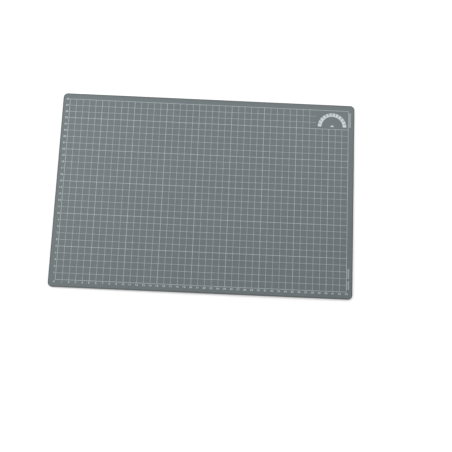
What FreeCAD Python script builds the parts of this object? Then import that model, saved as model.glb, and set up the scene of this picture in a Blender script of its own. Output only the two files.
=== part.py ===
"""Self-healing cutting mat for leatherwork, 450 x 300 x 3 mm.

The mat is a board pressed from five plies: a soft self-healing PVC skin on each face, a tough stop film
under each skin, and a stiff core between the films. Pale ink is screen-printed on the top skin: a border,
a grid of 10 mm squares with a heavier line every 50 mm, numerals along the lower and the left edge,
an angle gauge in the blank panel at the upper right, and short tick gauges in the right margin.

Frame: origin at the centre of the underside, X along the length, Y along the width, Z up through the plies.
All sizes are in millimetres.
"""

import FreeCAD, Part
import math
import os

import Sketcher
from FreeCAD import Placement, Rotation, Vector

# alias, value, meaning
DIMENSIONS = (
    ("mat_length", 450, "outer size along X"),
    ("mat_width", 300, "outer size along Y"),
    ("corner_radius", 6.5, "radius of the four corners"),
    ("skin_thickness", 0.75, "each self-healing PVC skin"),
    ("film_thickness", 0.25, "each stop film under a skin"),
    ("core_thickness", 1.0, "stiff core"),
    ("edge_round", 0.4, "rounding of the outermost edge of each skin"),
    ("margin_left", 10.75, "from the mat's left edge to the grid's zero line"),
    ("margin_lower", 10.9, "from the mat's lower edge to the grid's zero line"),
    ("grid_pitch", 10, "one square of the grid"),
    ("columns", 43, "squares along X"),
    ("rows", 28, "squares along Y"),
    ("bold_every", 5, "squares between two heavy lines"),
    ("fine_line", 0.32, "width of a line of the 10 mm grid"),
    ("bold_line", 0.45, "width of a line of the 50 mm grid and of the border"),
    ("ink_height", 0.04, "thickness of the dry ink"),
    ("panel_columns", 5, "width of the blank panel, in squares"),
    ("panel_rows", 3, "height of the blank panel, in squares"),
    ("numeral_height", 2.6, "height of a figure"),
    ("numeral_width", 1.85, "width of a figure"),
    ("numeral_stroke", 0.5, "stroke width of a figure"),
    ("numeral_space", 0.4, "gap between two figures of a number"),
    ("lower_gap", 1.7, "from the zero line to the top of the lower numbers"),
    ("left_gap", 1.7, "from the zero line to the right side of the left numbers"),
    ("gauge_radius", 22, "outer radius of the angle gauge"),
    ("gauge_band", 5.5, "width of the angle gauge's band"),
    ("gauge_rise", 3.5, "from the panel's lower line to the angle gauge's base"),
    ("gauge_inset", 25, "from the panel's left side to the angle gauge's centre"),
    ("gauge_step", 15, "degrees between two slots of the angle gauge"),
    ("slot_depth", 3.5, "length of a slot, from the gauge's outer edge"),
    ("slot_width", 1, "width of a slot"),
    ("hub_radius", 2.5, "radius of the half disc at the gauge's centre"),
    ("tick_gap", 0.7, "from the middle of the right border line to the ticks beside it"),
    ("tick_span", 3.2, "width of a tick gauge"),
    ("tick_pitch", 1, "distance between two ticks"),
    ("thin_tick", 0.33, "height of a tick of the upper gauge"),
    ("thick_tick", 0.5, "height of a tick of the lower gauge"),
    ("upper_ticks", 23, "ticks in the upper gauge"),
    ("upper_tick_start", 254.1, "height of the upper gauge's first tick over the zero line"),
    ("inner_tick", 0.8, "length of a tick in the lower gauge's column beside the border"),
    ("outer_tick", 1.4, "length of a tick in the lower gauge's outer column"),
    ("lower_tick_start", 3.6, "height of the lower gauge's first tick over the zero line"),
    ("first_ladder", 13, "ticks in each column of the lower gauge's first ladder"),
    ("second_ladder", 15, "ticks in each column of the lower gauge's second ladder"),
    ("ladder_step", 16.1, "distance between the starts of the two ladders"),
)


class Size:
    """A size worked out from the sheet: its number, and the expression that keeps a property bound to it."""

    def __init__(self, value, text):
        self.value = value
        self.text = text

    @staticmethod
    def of(other):
        return other if isinstance(other, Size) else Size(other, str(other))

    def __add__(self, other):
        other = Size.of(other)
        return Size(self.value + other.value, f"({self.text} + {other.text})")

    def __sub__(self, other):
        other = Size.of(other)
        return Size(self.value - other.value, f"({self.text} - {other.text})")

    def __mul__(self, other):
        other = Size.of(other)
        return Size(self.value * other.value, f"({self.text} * {other.text})")

    def __truediv__(self, other):
        other = Size.of(other)
        return Size(self.value / other.value, f"({self.text} / {other.text})")

    def floor(self):
        return Size(math.floor(self.value), f"floor({self.text})")

    def ceil(self):
        return Size(math.ceil(self.value), f"ceil({self.text})")


NOTHING = Size(0, "0")


def make_sheet(doc):
    """The spreadsheet of driving dimensions, and a Size for each of its aliases."""
    sheet = doc.addObject("Spreadsheet::Sheet", "Dimensions")
    for row, (alias, value, meaning) in enumerate(DIMENSIONS, start=1):
        sheet.set(f"A{row}", alias)
        sheet.set(f"B{row}", str(value))
        sheet.set(f"C{row}", meaning)
        sheet.setAlias(f"B{row}", alias)
    doc.recompute()
    return {alias: Size(float(sheet.get(alias)), f"{sheet.Name}.{alias}") for alias, _, _ in DIMENSIONS}


# ---- sketches and features ----


def origin_feature(body, role):
    return next(o for o in body.Origin.OriginFeatures if o.Role == role)


def new_body(doc, name, base_x=NOTHING, base_y=NOTHING, base_z=NOTHING):
    body = doc.addObject("PartDesign::Body", name)
    body.Label = name
    body.setExpression("Placement.Base.x", base_x.text)
    body.setExpression("Placement.Base.y", base_y.text)
    body.setExpression("Placement.Base.z", base_z.text)
    return body


def new_sketch(body, name):
    sketch = body.newObject("Sketcher::SketchObject", name)
    sketch.AttachmentSupport = [(origin_feature(body, "XY_Plane"), "")]
    sketch.MapMode = "FlatFace"
    return sketch


def constrain(sketch, size, name, *definition):
    """Adds a dimension constraint and binds it to the sheet."""
    index = sketch.addConstraint(Sketcher.Constraint(*definition, size.value))
    sketch.renameConstraint(index, name)
    sketch.setExpression(f"Constraints.{name}", size.text)


def square_outline(sketch, corners):
    """A closed outline of lines along X and Y in turn, through corners given as (x, y) sizes.

    Each line is held by one distance from the sketch's origin, or by lying on an axis.
    """
    first = sketch.GeometryCount
    count = len(corners)
    for i, (x, y) in enumerate(corners):
        next_x, next_y = corners[(i + 1) % count]
        start, end = Vector(x.value, y.value, 0), Vector(next_x.value, next_y.value, 0)
        sketch.addGeometry(Part.LineSegment(start, end), False)
    for i, (x, y) in enumerate(corners):
        line = first + i
        following = first + (i + 1) % count
        sketch.addConstraint(Sketcher.Constraint("Coincident", line, 2, following, 1))
        along_x = y.text == corners[(i + 1) % count][1].text
        sketch.addConstraint(Sketcher.Constraint("Horizontal" if along_x else "Vertical", line))
        size = y if along_x else x
        if size.value == 0:
            axis = -1 if along_x else -2
            sketch.addConstraint(Sketcher.Constraint("PointOnObject", line, 1, axis))
        else:
            kind = "DistanceY" if along_x else "DistanceX"
            constrain(sketch, size, f"side_{line}", kind, -1, 1, line, 1)


def rectangle(sketch, left, lower, width, height):
    right, upper = left + width, lower + height
    square_outline(sketch, ((left, lower), (right, lower), (right, upper), (left, upper)))


def rounded_plate(sketch, length, width, radius):
    """A rectangle with rounded corners, centred on the sketch's origin."""
    half_x, half_y, r = length.value / 2 - radius.value, width.value / 2 - radius.value, radius.value
    centres = [Vector(x * half_x, y * half_y) for x, y in ((1, -1), (1, 1), (-1, 1), (-1, -1))]
    for i, centre in enumerate(centres):
        start = (i - 1) * math.pi / 2
        corner = Part.ArcOfCircle(Part.Circle(centre, Vector(0, 0, 1), r), start, start + math.pi / 2)
        sketch.addGeometry(corner, False)
    for i, centre in enumerate(centres):
        out = Vector(r * math.cos(i * math.pi / 2), r * math.sin(i * math.pi / 2))
        sketch.addGeometry(Part.LineSegment(centre + out, centres[(i + 1) % 4] + out), False)
    for i in range(4):
        side, following = 4 + i, (i + 1) % 4
        sketch.addConstraint(Sketcher.Constraint("Tangent", i, 2, side, 1))
        sketch.addConstraint(Sketcher.Constraint("Tangent", side, 2, following, 1))
        sketch.addConstraint(Sketcher.Constraint("Vertical" if i % 2 == 0 else "Horizontal", side))
    for i in range(1, 4):
        sketch.addConstraint(Sketcher.Constraint("Equal", 0, i))
    sketch.addConstraint(Sketcher.Constraint("Symmetric", 1, 3, 3, 3, -1, 1))
    constrain(sketch, radius, "corner", "Radius", 0)
    constrain(sketch, length - radius * 2, "length", "DistanceX", 3, 3, 0, 3)
    constrain(sketch, width - radius * 2, "width", "DistanceY", 0, 3, 1, 3)


def half_ring(sketch, outer, inner):
    """The upper half of a ring, or of a disc where inner is None, standing on the X axis."""
    z = Vector(0, 0, 1)
    sketch.addGeometry(Part.ArcOfCircle(Part.Circle(Vector(0, 0), z, outer.value), 0, math.pi), False)
    sketch.addConstraint(Sketcher.Constraint("Coincident", 0, 3, -1, 1))
    sketch.addConstraint(Sketcher.Constraint("PointOnObject", 0, 1, -1))
    sketch.addConstraint(Sketcher.Constraint("PointOnObject", 0, 2, -1))
    constrain(sketch, outer, "outer", "Radius", 0)
    if inner is None:
        sketch.addGeometry(Part.LineSegment(Vector(-outer.value, 0), Vector(outer.value, 0)), False)
        sketch.addConstraint(Sketcher.Constraint("Coincident", 0, 2, 1, 1))
        sketch.addConstraint(Sketcher.Constraint("Coincident", 1, 2, 0, 1))
        return
    sketch.addGeometry(Part.ArcOfCircle(Part.Circle(Vector(0, 0), z, inner.value), 0, math.pi), False)
    sketch.addGeometry(Part.LineSegment(Vector(inner.value, 0), Vector(outer.value, 0)), False)
    sketch.addGeometry(Part.LineSegment(Vector(-outer.value, 0), Vector(-inner.value, 0)), False)
    sketch.addConstraint(Sketcher.Constraint("Coincident", 1, 3, -1, 1))
    sketch.addConstraint(Sketcher.Constraint("PointOnObject", 1, 1, -1))
    sketch.addConstraint(Sketcher.Constraint("PointOnObject", 1, 2, -1))
    sketch.addConstraint(Sketcher.Constraint("Coincident", 2, 1, 1, 1))
    sketch.addConstraint(Sketcher.Constraint("Coincident", 2, 2, 0, 1))
    sketch.addConstraint(Sketcher.Constraint("Coincident", 3, 1, 0, 2))
    sketch.addConstraint(Sketcher.Constraint("Coincident", 3, 2, 1, 2))
    constrain(sketch, inner, "inner", "Radius", 1)


def pad(body, sketch, height):
    feature = body.newObject("PartDesign::Pad", sketch.Name + "_pad")
    feature.Profile = sketch
    feature.setExpression("Length", height.text)
    body.Document.recompute()
    return feature


def pocket(body, sketch):
    """Cuts the sketch right through the body, and checks that it did."""
    before = body.Shape.Volume
    feature = body.newObject("PartDesign::Pocket", sketch.Name + "_pocket")
    feature.Profile = sketch
    feature.Type = "ThroughAll"
    feature.SideType = "Symmetric"
    feature.Refine = False
    body.Document.recompute()
    if not body.Shape.Volume < before:
        raise RuntimeError(f"{feature.Name} cut nothing")
    return feature


def repeat(body, original, role, pitch, count):
    """Repeats a feature, or the whole body where original is None, along an axis of the body."""
    feature = body.newObject("PartDesign::LinearPattern", f"{body.Name}_repeat_{len(body.Group)}")
    if original is None:
        feature.TransformMode = "Whole shape"
        feature.Refine = False
    else:
        feature.Originals = [original]
    feature.Direction = (origin_feature(body, role), [""])
    feature.Mode = "Spacing"
    feature.setExpression("Offset", pitch.text)
    feature.setExpression("Occurrences", count.text)
    body.Tip = feature
    body.Document.recompute()


def turn(body, original, angle, count, backwards):
    """Repeats a feature around the body's Z axis."""
    feature = body.newObject("PartDesign::PolarPattern", f"{body.Name}_turned")
    feature.Originals = [original]
    feature.Axis = (origin_feature(body, "Z_Axis"), [""])
    feature.Reversed = backwards
    feature.setExpression("Angle", angle.text)
    feature.setExpression("Occurrences", count.text)
    body.Tip = feature
    body.Document.recompute()


# ---- the plies ----


def make_ply(doc, d, name, base, thickness):
    body = new_body(doc, name, base_z=base)
    sketch = new_sketch(body, name + "_outline")
    rounded_plate(sketch, d["mat_length"], d["mat_width"], d["corner_radius"])
    pad(body, sketch, thickness)
    return body


def round_rim(body, at_top, radius):
    """Rounds the edges of the ply's upper or lower rim."""
    sheet = body.Tip
    level = sheet.Shape.BoundBox.ZMax if at_top else sheet.Shape.BoundBox.ZMin
    names = [
        f"Edge{i}"
        for i, edge in enumerate(sheet.Shape.Edges, start=1)
        if all(abs(v.Point.z - level) < 1e-6 for v in edge.Vertexes)
    ]
    feature = body.newObject("PartDesign::Fillet", body.Name + "_rim")
    feature.Base = (sheet, names)
    feature.setExpression("Radius", radius.text)
    body.Document.recompute()


def make_plies(doc, d):
    """The five plies, from the underside up. Returns the level of the printed face."""
    level = NOTHING
    skin, film, core = d["skin_thickness"], d["film_thickness"], d["core_thickness"]
    stack = (
        ("bottom_skin", skin),
        ("lower_stop_film", film),
        ("core_sheet", core),
        ("upper_stop_film", film),
        ("top_skin", skin),
    )
    bodies = {}
    for name, thickness in stack:
        bodies[name] = make_ply(doc, d, name, level, thickness)
        level = level + thickness
    round_rim(bodies["bottom_skin"], False, d["edge_round"])
    round_rim(bodies["top_skin"], True, d["edge_round"])
    return level


# ---- the printed lines ----


def grid_zero(d):
    """Where the two zero lines cross, from the mat's centre."""
    return d["margin_left"] - d["mat_length"] / 2, d["margin_lower"] - d["mat_width"] / 2


def make_border(doc, d, level):
    zero_x, zero_y = grid_zero(d)
    line = d["bold_line"]
    length, width = d["columns"] * d["grid_pitch"], d["rows"] * d["grid_pitch"]
    body = new_body(doc, "border_line", zero_x - line / 2, zero_y - line / 2, level)
    sketch = new_sketch(body, "border_outline")
    rectangle(sketch, NOTHING, NOTHING, length + line, width + line)
    rectangle(sketch, line, line, length - line, width - line)
    pad(body, sketch, d["ink_height"])


def panel_corner(d):
    """Lower left corner of the blank panel, from the zero lines. Its lower side is a heavy line."""
    left = (d["columns"] - d["panel_columns"]) * d["grid_pitch"] - d["fine_line"] / 2
    lower = (d["rows"] - d["panel_rows"]) * d["grid_pitch"] + d["bold_line"] / 2
    return left, lower


def make_bold_lines(doc, d, level):
    """The lines every 50 mm, in one lattice that ends on the border's inner side."""
    body = new_body(doc, "grid_lines_50mm", *grid_zero(d), level)
    line, every, pitch = d["bold_line"], d["bold_every"], d["grid_pitch"]
    length, width = d["columns"] * pitch, d["rows"] * pitch
    step = every * pitch

    upright = new_sketch(body, "bold_upright")
    rectangle(upright, step - line / 2, line / 2, line, width - line)
    strip = pad(body, upright, d["ink_height"])
    repeat(body, strip, "X_Axis", step, ((d["columns"] - 1) / every).floor())

    level_line = new_sketch(body, "bold_level")
    rectangle(level_line, line / 2, step - line / 2, length - line, line)
    strip = pad(body, level_line, d["ink_height"])
    repeat(body, strip, "Y_Axis", step, ((d["rows"] - 1) / every).floor())

    left, lower = panel_corner(d)
    panel = new_sketch(body, "bold_panel")
    rectangle(panel, left, lower, length - left, width - lower)
    pocket(body, panel)


def make_fine_lines(doc, d, level):
    """The lines every 10 mm, as one patch inside each 50 mm square, so that they meet the heavy lines.

    The patches past the border and inside the blank panel are cut off.
    """
    body = new_body(doc, "grid_lines_10mm", *grid_zero(d), level)
    fine, bold, every, pitch = d["fine_line"], d["bold_line"], d["bold_every"], d["grid_pitch"]
    step = every * pitch

    upright = new_sketch(body, "fine_upright")
    rectangle(upright, pitch - fine / 2, bold / 2, fine, step - bold)
    repeat(body, pad(body, upright, d["ink_height"]), "X_Axis", pitch, every - 1)
    level_line = new_sketch(body, "fine_level")
    rectangle(level_line, bold / 2, pitch - fine / 2, step - bold, fine)
    repeat(body, pad(body, level_line, d["ink_height"]), "Y_Axis", pitch, every - 1)
    repeat(body, None, "X_Axis", step, (d["columns"] / every).ceil())
    repeat(body, None, "Y_Axis", step, (d["rows"] / every).ceil())

    right, upper = d["columns"] * pitch - bold / 2, d["rows"] * pitch - bold / 2
    far_right, far_upper = right + step, upper + step
    left, lower = panel_corner(d)
    trim = new_sketch(body, "fine_trim")
    square_outline(
        trim,
        (
            (right, NOTHING),
            (far_right, NOTHING),
            (far_right, far_upper),
            (NOTHING, far_upper),
            (NOTHING, upper),
            (left, upper),
            (left, lower),
            (right, lower),
        ),
    )
    pocket(body, trim)


# ---- the printed gauges ----


def make_angle_gauge(doc, d, level):
    """A half ring with a slot every 15 degrees round a small half disc, in the blank panel."""
    zero_x, zero_y = grid_zero(d)
    panel_left, panel_lower = panel_corner(d)
    centre_x = zero_x + panel_left + d["gauge_inset"]
    centre_y = zero_y + panel_lower + d["gauge_rise"]
    body = new_body(doc, "angle_gauge_print", centre_x, centre_y, level)
    radius = d["gauge_radius"]
    ring = new_sketch(body, "gauge_ring")
    half_ring(ring, radius, radius - d["gauge_band"])
    pad(body, ring, d["ink_height"])

    # The first slot stands on the Y axis, and the others are turned from it to each side.
    slot = new_sketch(body, "gauge_slot")
    width, depth = d["slot_width"], d["slot_depth"]
    slot_outline(slot, width, radius - depth, depth * 2)
    cut = pocket(body, slot)
    quarter = Size(90, "90")
    turns = (quarter / d["gauge_step"]).floor()
    for backwards in (False, True):
        turn(body, cut, (turns - 1) * d["gauge_step"], turns, backwards)

    hub = new_sketch(body, "gauge_hub")
    half_ring(hub, d["hub_radius"], None)
    pad(body, hub, d["ink_height"])


def slot_outline(sketch, width, start, depth):
    """A rectangle centred on the Y axis."""
    half, low, high = width.value / 2, start.value, (start + depth).value
    corners = (Vector(-half, low), Vector(half, low), Vector(half, high), Vector(-half, high))
    for i in range(4):
        sketch.addGeometry(Part.LineSegment(corners[i], corners[(i + 1) % 4]), False)
    for i in range(4):
        sketch.addConstraint(Sketcher.Constraint("Coincident", i, 2, (i + 1) % 4, 1))
    sketch.addConstraint(Sketcher.Constraint("Symmetric", 0, 1, 0, 2, -2))
    sketch.addConstraint(Sketcher.Constraint("Vertical", 1))
    sketch.addConstraint(Sketcher.Constraint("Horizontal", 2))
    sketch.addConstraint(Sketcher.Constraint("Vertical", 3))
    constrain(sketch, width, "width", "DistanceX", 0, 1, 0, 2)
    constrain(sketch, start, "start", "DistanceY", -1, 1, 0, 1)
    constrain(sketch, depth, "depth", "DistanceY", 1, 1, 1, 2)


def tick_body(doc, d, level, name, start):
    """A body whose origin is at the lower left of a gauge in the right margin."""
    zero_x, zero_y = grid_zero(d)
    return new_body(doc, name, zero_x + d["columns"] * d["grid_pitch"] + d["tick_gap"], zero_y + start, level)


def make_upper_ticks(doc, d, level):
    """One ladder of full-width ticks."""
    body = tick_body(doc, d, level, "tick_gauge_upper", d["upper_tick_start"])
    sketch = new_sketch(body, "long_tick")
    rectangle(sketch, NOTHING, NOTHING, d["tick_span"], d["thin_tick"])
    repeat(body, pad(body, sketch, d["ink_height"]), "Y_Axis", d["tick_pitch"], d["upper_ticks"])


def make_lower_ticks(doc, d, level):
    """Two ladders one above the other, each with a narrow and a wide column of ticks."""
    body = tick_body(doc, d, level, "tick_gauge_lower", d["lower_tick_start"])
    inner, outer, thick = d["inner_tick"], d["outer_tick"], d["thick_tick"]
    ladders = ((NOTHING, d["first_ladder"]), (d["ladder_step"], d["second_ladder"]))
    for number, (start, count) in enumerate(ladders, start=1):
        sketch = new_sketch(body, f"ladder_{number}_tick")
        rectangle(sketch, NOTHING, start, inner, thick)
        rectangle(sketch, d["tick_span"] - outer, start, outer, thick)
        repeat(body, pad(body, sketch, d["ink_height"]), "Y_Axis", d["tick_pitch"], count)


# ---- the numerals ----


def oval(low, high, radius):
    """The flat shape of everything within the radius of the line from low to high."""
    if low.isEqual(high, 1e-9):
        return Part.Face(Part.Wire([Part.Circle(low, Vector(0, 0, 1), radius).toShape()]))
    along = (high - low).normalize() * radius
    side = Vector(-along.y, along.x, 0)
    edges = [
        Part.Arc(low + side, low - along, low - side).toShape(),
        Part.LineSegment(low - side, high - side).toShape(),
        Part.Arc(high - side, high + along, high + side).toShape(),
        Part.LineSegment(high + side, low + side).toShape(),
    ]
    return Part.Face(Part.Wire(edges))


def bar(start, end, pen):
    """A straight stroke with round ends."""
    return oval(start, end, pen / 2)


def loop(low, high, radius, pen):
    """A closed stroke round the line from low to high."""
    return oval(low, high, radius + pen / 2).cut(oval(low, high, radius - pen / 2)).Faces[0]


def stroke(points, pen):
    """A bent stroke with round ends.

    It runs straight from point to point. A pair (through, end) in place of a point makes an arc.
    """
    edges, last = [], points[0]
    for item in points[1:]:
        if isinstance(item, tuple):
            through, end = item
            edges.append(Part.Arc(last, through, end).toShape())
        else:
            end = item
            edges.append(Part.LineSegment(last, end).toShape())
        last = end
    return Part.Wire(edges).makeOffset2D(pen / 2, join=0, fill=True, openResult=False)


def figure_strokes(wide, high, pen):
    """The strokes of the figures 0 to 9. Each figure stands on the X axis, right of the Y axis."""

    def at(x, y):
        return Vector(x, y, 0)

    left, right, low, top = pen / 2, wide - pen / 2, pen / 2, high - pen / 2
    middle = wide / 2
    r = (right - left) / 2  # a bowl as wide as the figure
    lean = r / math.sqrt(2)
    half = (top - low) / 4  # a bowl half as high as the figure
    large, small = 1.1 * half, 0.9 * half  # the lower bowl is the larger one
    waist, belly = low + 2 * half, low + 2 * large
    crown, foot = at(middle, top - r), at(middle, low + r)
    post = right - half / 2

    # The hook of the 6 is a little thinner than its bowl, so that the hook's end sinks into the bowl.
    hook = [at(left, low + r), at(left, top - r), (at(middle, top), crown + at(lean, lean))]
    six = [loop(foot, foot, r, pen), stroke(hook, 0.9 * pen)]
    turned = Placement(Vector(0, 0, 0), Rotation(Vector(0, 0, 1), 180), at(wide / 2, high / 2))
    upper_bowl = (at(right, top - half), at(right - half, waist))
    lower_bowl = (at(right, low + half), at(right - half, low))
    return {
        "0": [loop(foot, crown, r, pen)],
        "1": [stroke([at(middle - lean, top - lean), at(middle, top), at(middle, low)], pen)],
        "2": [
            stroke([at(left, top - r), (at(middle, top), crown + at(lean, -lean)), at(left, low)], pen),
            bar(at(left, low), at(right, low), pen),
        ],
        "3": [
            stroke([at(left, top), at(right - half, top), upper_bowl, at(middle, waist)], pen),
            stroke([at(middle, waist), at(right - half, waist), lower_bowl, at(left, low)], pen),
        ],
        "4": [
            stroke([at(right, low + half), at(left, low + half), at(post, top)], pen),
            bar(at(post, top), at(post, low), pen),
        ],
        "5": [
            stroke([at(right, top), at(left, top), at(left, belly), at(right - large, belly)], pen),
            stroke(
                [
                    at(left, belly),
                    at(right - large, belly),
                    (at(right, low + large), at(right - large, low)),
                    at(left, low),
                ],
                pen,
            ),
        ],
        "6": six,
        "7": [stroke([at(left, top), at(right, top), at(middle - r / 3, low)], pen)],
        "8": [
            loop(at(middle, low + large), at(middle, low + large), large, pen),
            loop(at(middle, top - small), at(middle, top - small), small, pen),
        ],
        "9": [part.transformed(turned.toMatrix()) for part in six],
    }


def make_figures(wide, high, pen, thickness):
    """The solid of each figure."""
    figures = {}
    for figure, strokes in figure_strokes(wide, high, pen).items():
        solids = [flat.extrude(Vector(0, 0, thickness)) for flat in strokes]
        joined = solids[0].fuse(solids[1:]).removeSplitter() if len(solids) > 1 else solids[0]
        if len(joined.Solids) != 1 or not joined.isValid():
            raise RuntimeError(f"figure {figure} is not one sound solid")
        figures[figure] = joined.Solids[0]
    return figures


def number_solids(figures, number, corner, advance):
    """The solids of one number, whose lower left corner is given."""
    return [
        figures[figure].translated(corner + Vector(place * advance, 0, 0))
        for place, figure in enumerate(str(number))
    ]


def make_numerals(doc, d, level):
    """The numbers under the lower zero line and left of the left one. They share one 0 at the corner."""
    v = {alias: size.value for alias, size in d.items()}
    wide, high = v["numeral_width"], v["numeral_height"]
    advance = wide + v["numeral_space"]
    figures = make_figures(wide, high, v["numeral_stroke"], v["ink_height"])

    def width_of(number):
        return len(str(number)) * advance - v["numeral_space"]

    lower = []
    for column in range(int(v["columns"]) + 1):
        along = column * v["grid_pitch"] - width_of(column) / 2
        if column == 0:
            along = -v["left_gap"] - wide / 2
        lower += number_solids(figures, column, Vector(along, -v["lower_gap"] - high, 0), advance)
    left = []
    for row in range(1, int(v["rows"]) + 1):
        corner = Vector(-v["left_gap"] - width_of(row), row * v["grid_pitch"] - high / 2, 0)
        left += number_solids(figures, row, corner, advance)

    zero_x, zero_y = grid_zero(d)
    for name, solids in (("numerals_lower", lower), ("numerals_left", left)):
        feature = doc.addObject("Part::Feature", name)
        feature.Label = name
        feature.Shape = Part.makeCompound(solids)
        feature.Placement = Placement(Vector(zero_x.value, zero_y.value, level.value), Rotation())


# ---- the document ----


def write_nodes(doc):
    """Checks every object, then writes each sub-part's STEP file."""
    doc.recompute()
    for obj in doc.Objects:
        if "Invalid" in obj.State or "Error" in obj.State:
            raise RuntimeError(f"{obj.Name} failed: {obj.State}")
    nodes = [o for o in doc.Objects if o.TypeId in ("PartDesign::Body", "Part::Feature")]
    for node in nodes:
        if node.Shape.isNull() or not node.Shape.isValid():
            raise RuntimeError(f"{node.Label} has no valid shape")
    os.makedirs("parts", exist_ok=True)
    for node in nodes:
        node.Shape.exportStep(f"parts/{node.Label}.step")
        box = node.Shape.BoundBox
        print(
            f"{node.Label}: {len(node.Shape.Solids)} solids, {len(node.Shape.Faces)} faces, "
            f"{node.Shape.Volume:.2f} mm3, X {box.XMin:.2f} to {box.XMax:.2f}, "
            f"Y {box.YMin:.2f} to {box.YMax:.2f}, Z {box.ZMin:.2f} to {box.ZMax:.2f}"
        )


def main():
    doc = FreeCAD.newDocument("cutting_mat")
    d = make_sheet(doc)
    level = make_plies(doc, d)
    make_border(doc, d, level)
    make_bold_lines(doc, d, level)
    make_fine_lines(doc, d, level)
    make_angle_gauge(doc, d, level)
    make_upper_ticks(doc, d, level)
    make_lower_ticks(doc, d, level)
    make_numerals(doc, d, level)
    write_nodes(doc)


main()
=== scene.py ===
import bmesh
import bpy
import math
from mathutils import Matrix, Vector


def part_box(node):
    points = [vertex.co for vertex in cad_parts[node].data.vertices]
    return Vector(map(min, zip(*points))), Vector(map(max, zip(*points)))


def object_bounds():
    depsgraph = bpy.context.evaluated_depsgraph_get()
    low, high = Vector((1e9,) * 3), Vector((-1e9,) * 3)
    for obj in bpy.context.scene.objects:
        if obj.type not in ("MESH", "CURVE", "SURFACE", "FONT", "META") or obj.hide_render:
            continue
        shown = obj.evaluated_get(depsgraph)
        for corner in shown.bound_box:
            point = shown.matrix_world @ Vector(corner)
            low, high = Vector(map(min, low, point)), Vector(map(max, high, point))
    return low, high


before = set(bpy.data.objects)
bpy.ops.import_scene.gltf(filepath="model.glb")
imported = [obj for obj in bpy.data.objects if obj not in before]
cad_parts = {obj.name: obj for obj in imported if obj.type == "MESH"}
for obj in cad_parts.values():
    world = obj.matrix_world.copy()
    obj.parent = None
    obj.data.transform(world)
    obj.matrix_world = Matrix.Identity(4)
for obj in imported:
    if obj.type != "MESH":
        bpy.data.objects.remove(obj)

# A self-healing cutting mat on a white studio sweep, seen from almost straight above.
# Every object is in metres, in the frame of the CAD model: origin at the centre of the underside, Z up.

CAD_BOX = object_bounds()
MAT_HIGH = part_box("core_sheet")[1]
SKIN_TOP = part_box("top_skin")[1].z
MM = 0.001


# ---- camera ----

# The camera stands a little in front of the mat. It looks down at a point right of the mat's middle and
# nearer to the front.
CAMERA_TARGET = Vector((34.01, -47.73, 0)) * MM + Vector((0, 0, SKIN_TOP))
CAMERA_DISTANCE = 1.1427
CAMERA_HEADING = 1.96  # degrees from +Y towards +X
CAMERA_ELEVATION = 79.25  # degrees above the table
CAMERA_ROLL = 4.47  # degrees, counter-clockwise as the camera sees it
CAMERA_LENS = 60.71  # millimetres
SENSOR_WIDTH = 36  # millimetres
NEAREST_SEEN, FURTHEST_SEEN = 0.01, 50


def make_camera():
    heading, elevation = math.radians(CAMERA_HEADING), math.radians(CAMERA_ELEVATION)
    level = math.cos(elevation)
    forward = Vector((level * math.sin(heading), level * math.cos(heading), -math.sin(elevation)))
    right = forward.cross(Vector((0, 0, 1))).normalized()
    upward = right.cross(forward)
    axes = Matrix((right, upward, -forward)).transposed()
    data = bpy.data.cameras.new("camera")
    data.lens = CAMERA_LENS
    data.sensor_width = SENSOR_WIDTH
    data.clip_start = NEAREST_SEEN
    data.clip_end = FURTHEST_SEEN
    camera = bpy.data.objects.new("camera", data)
    place = Matrix.Translation(CAMERA_TARGET - forward * CAMERA_DISTANCE)
    camera.matrix_world = place @ axes.to_4x4() @ Matrix.Rotation(math.radians(CAMERA_ROLL), 4, "Z")
    bpy.context.collection.objects.link(camera)
    bpy.context.scene.camera = camera


# ---- material building blocks ----

NOISE_SPAN = (0.3, 0.7)  # cloudy noise is seldom outside this
GRAIN_BLUR = 0.6  # how far the cells of a grain run into each other
COLOURS_IN, COLOUR_OUT = (6, 7), 2  # colour sockets of the mix node, whose other kinds have the same names


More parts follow.
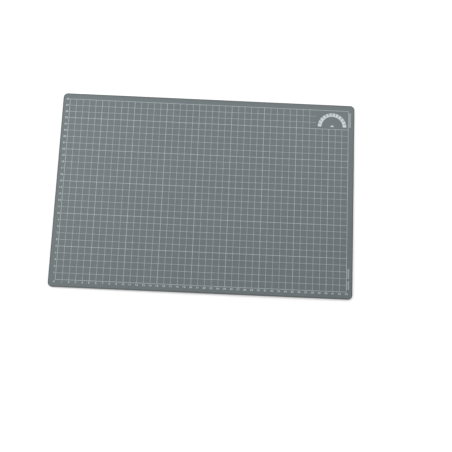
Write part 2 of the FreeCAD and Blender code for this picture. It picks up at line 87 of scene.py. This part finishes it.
class Painter:
    """Builds one material's node tree. Sizes are in metres, in the object's own space."""

    def __init__(self, name, specular=0.5):
        self.material = bpy.data.materials.new(name)
        self.material.use_nodes = True
        self.tree = self.material.node_tree
        self.shader = self.tree.nodes["Principled BSDF"]
        self.shader.inputs["Specular IOR Level"].default_value = specular
        self.space = self.node("ShaderNodeTexCoord").outputs["Object"]

    def node(self, kind, **settings):
        node = self.tree.nodes.new(kind)
        for key, value in settings.items():
            setattr(node, key, value)
        return node

    def link(self, source, target):
        if isinstance(source, (int, float)):
            target.default_value = source
        else:
            self.tree.links.new(source, target)

    def stretched(self, stretch):
        """The object's space, in which a feature of size 1 is as long as the stretch along each axis."""
        mapping = self.node("ShaderNodeMapping", vector_type="TEXTURE")
        mapping.inputs["Scale"].default_value = stretch
        self.link(self.space, mapping.inputs["Vector"])
        return mapping.outputs["Vector"]

    def noise(self, size, detail=2, space=None):
        """Cloudy noise around 0.5, with features of about the given size."""
        noise = self.node("ShaderNodeTexNoise")
        noise.inputs["Scale"].default_value = 1 / size
        noise.inputs["Detail"].default_value = detail
        self.link(space or self.space, noise.inputs["Vector"])
        return noise.outputs["Fac"]

    def cells(self, size):
        """Distance from the middle of the nearest cell, as in a pebbled grain."""
        cells = self.node("ShaderNodeTexVoronoi", feature="SMOOTH_F1")
        cells.inputs["Scale"].default_value = 1 / size
        cells.inputs["Smoothness"].default_value = GRAIN_BLUR
        self.link(self.space, cells.inputs["Vector"])
        return cells.outputs["Distance"]

    def math(self, operation, first, second=0.0):
        node = self.node("ShaderNodeMath", operation=operation)
        self.link(first, node.inputs[0])
        self.link(second, node.inputs[1])
        return node.outputs[0]

    def spread(self, value, span, onto):
        """Maps one span onto another, smoothly. Outside the first it holds the ends of the second."""
        node = self.node("ShaderNodeMapRange", interpolation_type="SMOOTHSTEP")
        names = ("Value", "From Min", "From Max", "To Min", "To Max")
        for source, name in zip((value, *span, *onto), names):
            self.link(source, node.inputs[name])
        return node.outputs["Result"]

    def vary(self, noise, onto):
        """Maps cloudy noise onto a span."""
        return self.spread(noise, NOISE_SPAN, onto)

    def tint(self, colour, factor):
        """The colour made lighter or darker by a factor that varies over the surface."""
        mix = self.node("ShaderNodeVectorMath", operation="SCALE")
        mix.inputs[0].default_value = colour
        self.link(factor, mix.inputs["Scale"])
        return mix.outputs["Vector"]

    def blend(self, factor, first, second):
        """The first colour where the factor is 0, and the second where it is 1."""
        mix = self.node("ShaderNodeMix", data_type="RGBA")
        self.link(factor, mix.inputs["Factor"])
        for colour, place in zip((first, second), COLOURS_IN):
            if isinstance(colour, tuple):
                mix.inputs[place].default_value = (*colour, 1)
            else:
                self.link(colour, mix.inputs[place])
        return mix.outputs[COLOUR_OUT]

    def edge_distance(self):
        """How far a point of the mat is from the mat's nearest straight edge."""
        place = self.node("ShaderNodeSeparateXYZ")
        self.link(self.space, place.inputs["Vector"])
        across = self.math("SUBTRACT", MAT_HIGH.x, self.math("ABSOLUTE", place.outputs["X"]))
        along = self.math("SUBTRACT", MAT_HIGH.y, self.math("ABSOLUTE", place.outputs["Y"]))
        return self.math("MINIMUM", across, along)

    def facing_up(self):
        """1 where the surface faces up or down, 0 where it is upright."""
        place = self.node("ShaderNodeSeparateXYZ")
        self.link(self.node("ShaderNodeNewGeometry").outputs["Normal"], place.inputs["Vector"])
        return self.math("ABSOLUTE", place.outputs["Z"])

    def bump(self, height, depth):
        """Relief of the given depth."""
        bump = self.node("ShaderNodeBump")
        bump.inputs["Distance"].default_value = depth
        self.link(height, bump.inputs["Height"])
        return bump.outputs["Normal"]

    def finish(self, colour, roughness, normal):
        self.link(colour, self.shader.inputs["Base Color"])
        self.link(roughness, self.shader.inputs["Roughness"])
        self.link(normal, self.shader.inputs["Normal"])
        return self.material


# ---- materials ----

# Sizes, lengths, depths and distances are in metres. A pair is the span of what varies over the surface.
# Shades are factors on the colour, but those of speckle and dirt are added to the factor before them.

SKIN_COLOUR = (0.1335, 0.162, 0.17)
SKIN_ROUGHNESS = (0.52, 0.66)
CLOUD_SIZE, CLOUD_SHADES = 0.06, (0.975, 1.025)
SPECKLE_SIZE, SPECKLE_SHADES = 0.0006, (-0.06, 0.06)
MIXED_NOISE_SPAN = (0.7, 1.3)  # clouds and speckle added together
GRAIN_SIZE, GRAIN_DEPTH = 0.0008, 0.00009
# painted shade along the rim: darker within these distances from the edge
RIM_DISTANCES, PAINTED_RIM_SHADES = (0.0003, 0.0021), (0.46, 1.0)
# painted shade on the upright faces: darker the more upright they stand
SIDE_SHADE_FACINGS, PAINTED_SIDE_SHADES = (0.2, 0.97), (0.6, 1.0)  # a facing of 0 is upright, of 1 flat

FILM_COLOUR, FILM_ROUGHNESS, FILM_SMEAR = (0.20, 0.225, 0.23), 0.45, 0.0002
CORE_COLOUR, CORE_ROUGHNESS, CORE_SMEAR = (0.055, 0.062, 0.065), 0.65, 0.0003
DRAG_LENGTH, DRAG_DEPTH, DRAG_SHADES = 0.02, 0.00002, (0.9, 1.08)
DRAG_ROUGHNESS = 0.08  # more or less than the ply's own
DIRT_SIZE, DIRT_NOISE, DIRT_SHADES = 0.008, (0.35, 0.7), (0.03, -0.08)

INK_COLOUR = (0.6, 0.66, 0.69)
INK_THIN_COLOUR = (0.48, 0.54, 0.565)
INK_ROUGHNESS = (0.62, 0.8)
INK_SPECULAR = 0.4
PATCH_SIZE, PATCH_NOISE = 0.012, (0.42, 0.62)
PATCH_SHARE = 0.5  # how far a patch goes towards the thin colour
PORE_SIZE, PORE_DEPTH, PORE_NOISE = 0.00025, 0.00001, (0.34, 0.42)
PORE_SHARES = (0.25, 0)  # how much of the skin shows through

FLOOR_COLOUR = (0.9, 0.9, 0.9)
FLOOR_ROUGHNESS = (0.86, 0.94)
FLOOR_SPECULAR = 0.1
MOTTLE_SIZE, MOTTLE_DEPTH, MOTTLE_SHADES = 0.15, 0.00005, (1.0, 1.03)
GLOW_DISTANCES, GLOW_STRENGTHS = (0.15, 0.6), (0.22, 0.6)  # from the mat's middle outwards


def skin_material():
    """Soft matte PVC: a fine pebbled grain, a salt-and-pepper speckle and slow clouds in the grey.

    It has painted shade: darker along the rim, and darkest on its upright faces.
    """
    paint = Painter("pvc_skin")
    clouds = paint.noise(CLOUD_SIZE, detail=3)
    speckle = paint.noise(SPECKLE_SIZE)
    grain = paint.cells(GRAIN_SIZE)
    shade = paint.math("ADD", paint.vary(clouds, CLOUD_SHADES), paint.vary(speckle, SPECKLE_SHADES))
    # painted shade: a darker band along the mat's rim
    painted_rim_shade = paint.spread(paint.edge_distance(), RIM_DISTANCES, PAINTED_RIM_SHADES)
    # painted shade: faces that stand upright are darker
    painted_side_shade = paint.spread(paint.facing_up(), SIDE_SHADE_FACINGS, PAINTED_SIDE_SHADES)
    shade = paint.math("MULTIPLY", shade, paint.math("MULTIPLY", painted_rim_shade, painted_side_shade))
    roughness = paint.spread(paint.math("ADD", clouds, speckle), MIXED_NOISE_SPAN, SKIN_ROUGHNESS)
    return paint.finish(paint.tint(SKIN_COLOUR, shade), roughness, paint.bump(grain, GRAIN_DEPTH))


def ply_material(name, colour, roughness, smear):
    """A trimmed edge of one ply: drag marks along the edge, as thick as the smear, and a little dirt."""
    paint = Painter(name)
    drag = paint.noise(1, detail=3, space=paint.stretched((DRAG_LENGTH, DRAG_LENGTH, smear)))
    dirt = paint.noise(DIRT_SIZE, detail=3)
    shade = paint.math("ADD", paint.vary(drag, DRAG_SHADES), paint.spread(dirt, DIRT_NOISE, DIRT_SHADES))
    rough = paint.vary(drag, (roughness - DRAG_ROUGHNESS, roughness + DRAG_ROUGHNESS))
    return paint.finish(paint.tint(colour, shade), rough, paint.bump(drag, DRAG_DEPTH))


def ink_material():
    """Screen-printed ink: matte, a little thinner in places, with the mesh of the screen just showing."""
    paint = Painter("printed_ink", INK_SPECULAR)
    thin = paint.spread(paint.noise(PATCH_SIZE, detail=3), PATCH_NOISE, (0, 1))
    pores = paint.noise(PORE_SIZE)
    body = paint.blend(paint.math("MULTIPLY", thin, PATCH_SHARE), INK_COLOUR, INK_THIN_COLOUR)
    wear = paint.spread(pores, PORE_NOISE, PORE_SHARES)
    colour = paint.blend(wear, body, SKIN_COLOUR)
    return paint.finish(colour, paint.vary(pores, INK_ROUGHNESS), paint.bump(pores, PORE_DEPTH))


def floor_material():
    """White sweep with the faintest mottle. It gives light of its own, more so the further out."""
    paint = Painter("studio_floor", FLOOR_SPECULAR)
    mottle = paint.noise(MOTTLE_SIZE)
    shade = paint.vary(mottle, MOTTLE_SHADES)
    rough = paint.vary(mottle, FLOOR_ROUGHNESS)
    reach = paint.node("ShaderNodeVectorMath", operation="LENGTH")
    paint.link(paint.space, reach.inputs[0])
    glow = paint.spread(reach.outputs["Value"], GLOW_DISTANCES, GLOW_STRENGTHS)
    paint.shader.inputs["Emission Color"].default_value = (1, 1, 1, 1)
    paint.link(glow, paint.shader.inputs["Emission Strength"])
    return paint.finish(paint.tint(FLOOR_COLOUR, shade), rough, paint.bump(mottle, MOTTLE_DEPTH))


def dress(material, *nodes):
    for node in nodes:
        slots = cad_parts[node].data.materials
        slots.clear()
        slots.append(material)


# ---- sweep, light and air ----

SWEEP_FLAT = 3.0  # radius of the flat part
SWEEP_BEND = 1.5  # radius of the bend between the floor and the wall
SWEEP_TOP = 1.8  # height of the wall
SWEEP_STEPS = 24  # facets of the bend
SWEEP_SEGMENTS = 128  # facets all round
SWEEP_RING = 0.02  # width of the flat part's last ring, which keeps the bend's smooth shading off the rest
WELD = 0.00001  # points nearer to each other than this are made one
GAP_UNDER_MAT = 0.00002

SOFTBOX_WIDTH = 0.5
SOFTBOX_COLOUR = (1, 0.995, 0.985)
SOFTBOXES = (  # name, place, watts
    ("left_softbox", (-0.614, 0.214, 0.666), 3.2),
    ("right_softbox", (0.381, 0.537, 0.666), 2.36),
)
AIR_STRENGTH = 0.454


def make_floor():
    """A white studio sweep: flat under the mat, then curving up all round it into a low wall."""
    profile = [(0, 0), (SWEEP_FLAT - SWEEP_RING, 0)]
    for step in range(SWEEP_STEPS + 1):
        angle = math.pi / 2 * step / SWEEP_STEPS
        profile.append((SWEEP_FLAT + SWEEP_BEND * math.sin(angle), SWEEP_BEND * (1 - math.cos(angle))))
    profile.append((SWEEP_FLAT + SWEEP_BEND, SWEEP_TOP))
    mesh = bpy.data.meshes.new("studio_sweep")
    outline = bmesh.new()
    points = [outline.verts.new((reach, 0, height)) for reach, height in profile]
    sides = [outline.edges.new(pair) for pair in zip(points, points[1:])]
    bmesh.ops.spin(
        outline,
        geom=points + sides,
        axis=(0, 0, 1),
        cent=(0, 0, 0),
        angle=math.tau,
        steps=SWEEP_SEGMENTS,
        use_merge=True,
    )
    bmesh.ops.remove_doubles(outline, verts=outline.verts, dist=WELD)
    bmesh.ops.recalc_face_normals(outline, faces=outline.faces)
    outline.to_mesh(mesh)
    outline.free()
    mesh.shade_smooth()
    floor = bpy.data.objects.new("studio_sweep", mesh)
    floor.location.z = CAD_BOX[0].z - GAP_UNDER_MAT
    mesh.materials.append(floor_material())
    bpy.context.collection.objects.link(floor)


def make_softbox(name, place, power):
    """A round softbox that faces the mat's middle."""
    data = bpy.data.lights.new(name, "AREA")
    data.shape = "DISK"
    data.size = SOFTBOX_WIDTH
    data.energy = power
    data.color = SOFTBOX_COLOUR
    light = bpy.data.objects.new(name, data)
    light.location = place
    light.rotation_mode = "QUATERNION"
    light.rotation_quaternion = (-Vector(place)).to_track_quat("-Z", "Y")
    light.visible_camera = False
    bpy.context.collection.objects.link(light)


def make_air():
    """White light from all round."""
    world = bpy.data.worlds.new("studio_air")
    world.use_nodes = True
    background = world.node_tree.nodes["Background"]
    background.inputs["Color"].default_value = (1, 1, 1, 1)
    background.inputs["Strength"].default_value = AIR_STRENGTH
    bpy.context.scene.world = world


# ---- the scene ----

PRINTS = (
    "border_line",
    "grid_lines_50mm",
    "grid_lines_10mm",
    "angle_gauge_print",
    "tick_gauge_upper",
    "tick_gauge_lower",
    "numerals_lower",
    "numerals_left",
)

make_camera()
dress(skin_material(), "top_skin", "bottom_skin")
film = ply_material("stop_film_edge", FILM_COLOUR, FILM_ROUGHNESS, FILM_SMEAR)
dress(film, "upper_stop_film", "lower_stop_film")
dress(ply_material("core_edge", CORE_COLOUR, CORE_ROUGHNESS, CORE_SMEAR), "core_sheet")
dress(ink_material(), *PRINTS)
make_floor()
for softbox in SOFTBOXES:
    make_softbox(*softbox)
make_air()
bpy.context.scene.view_settings.view_transform = "Standard"
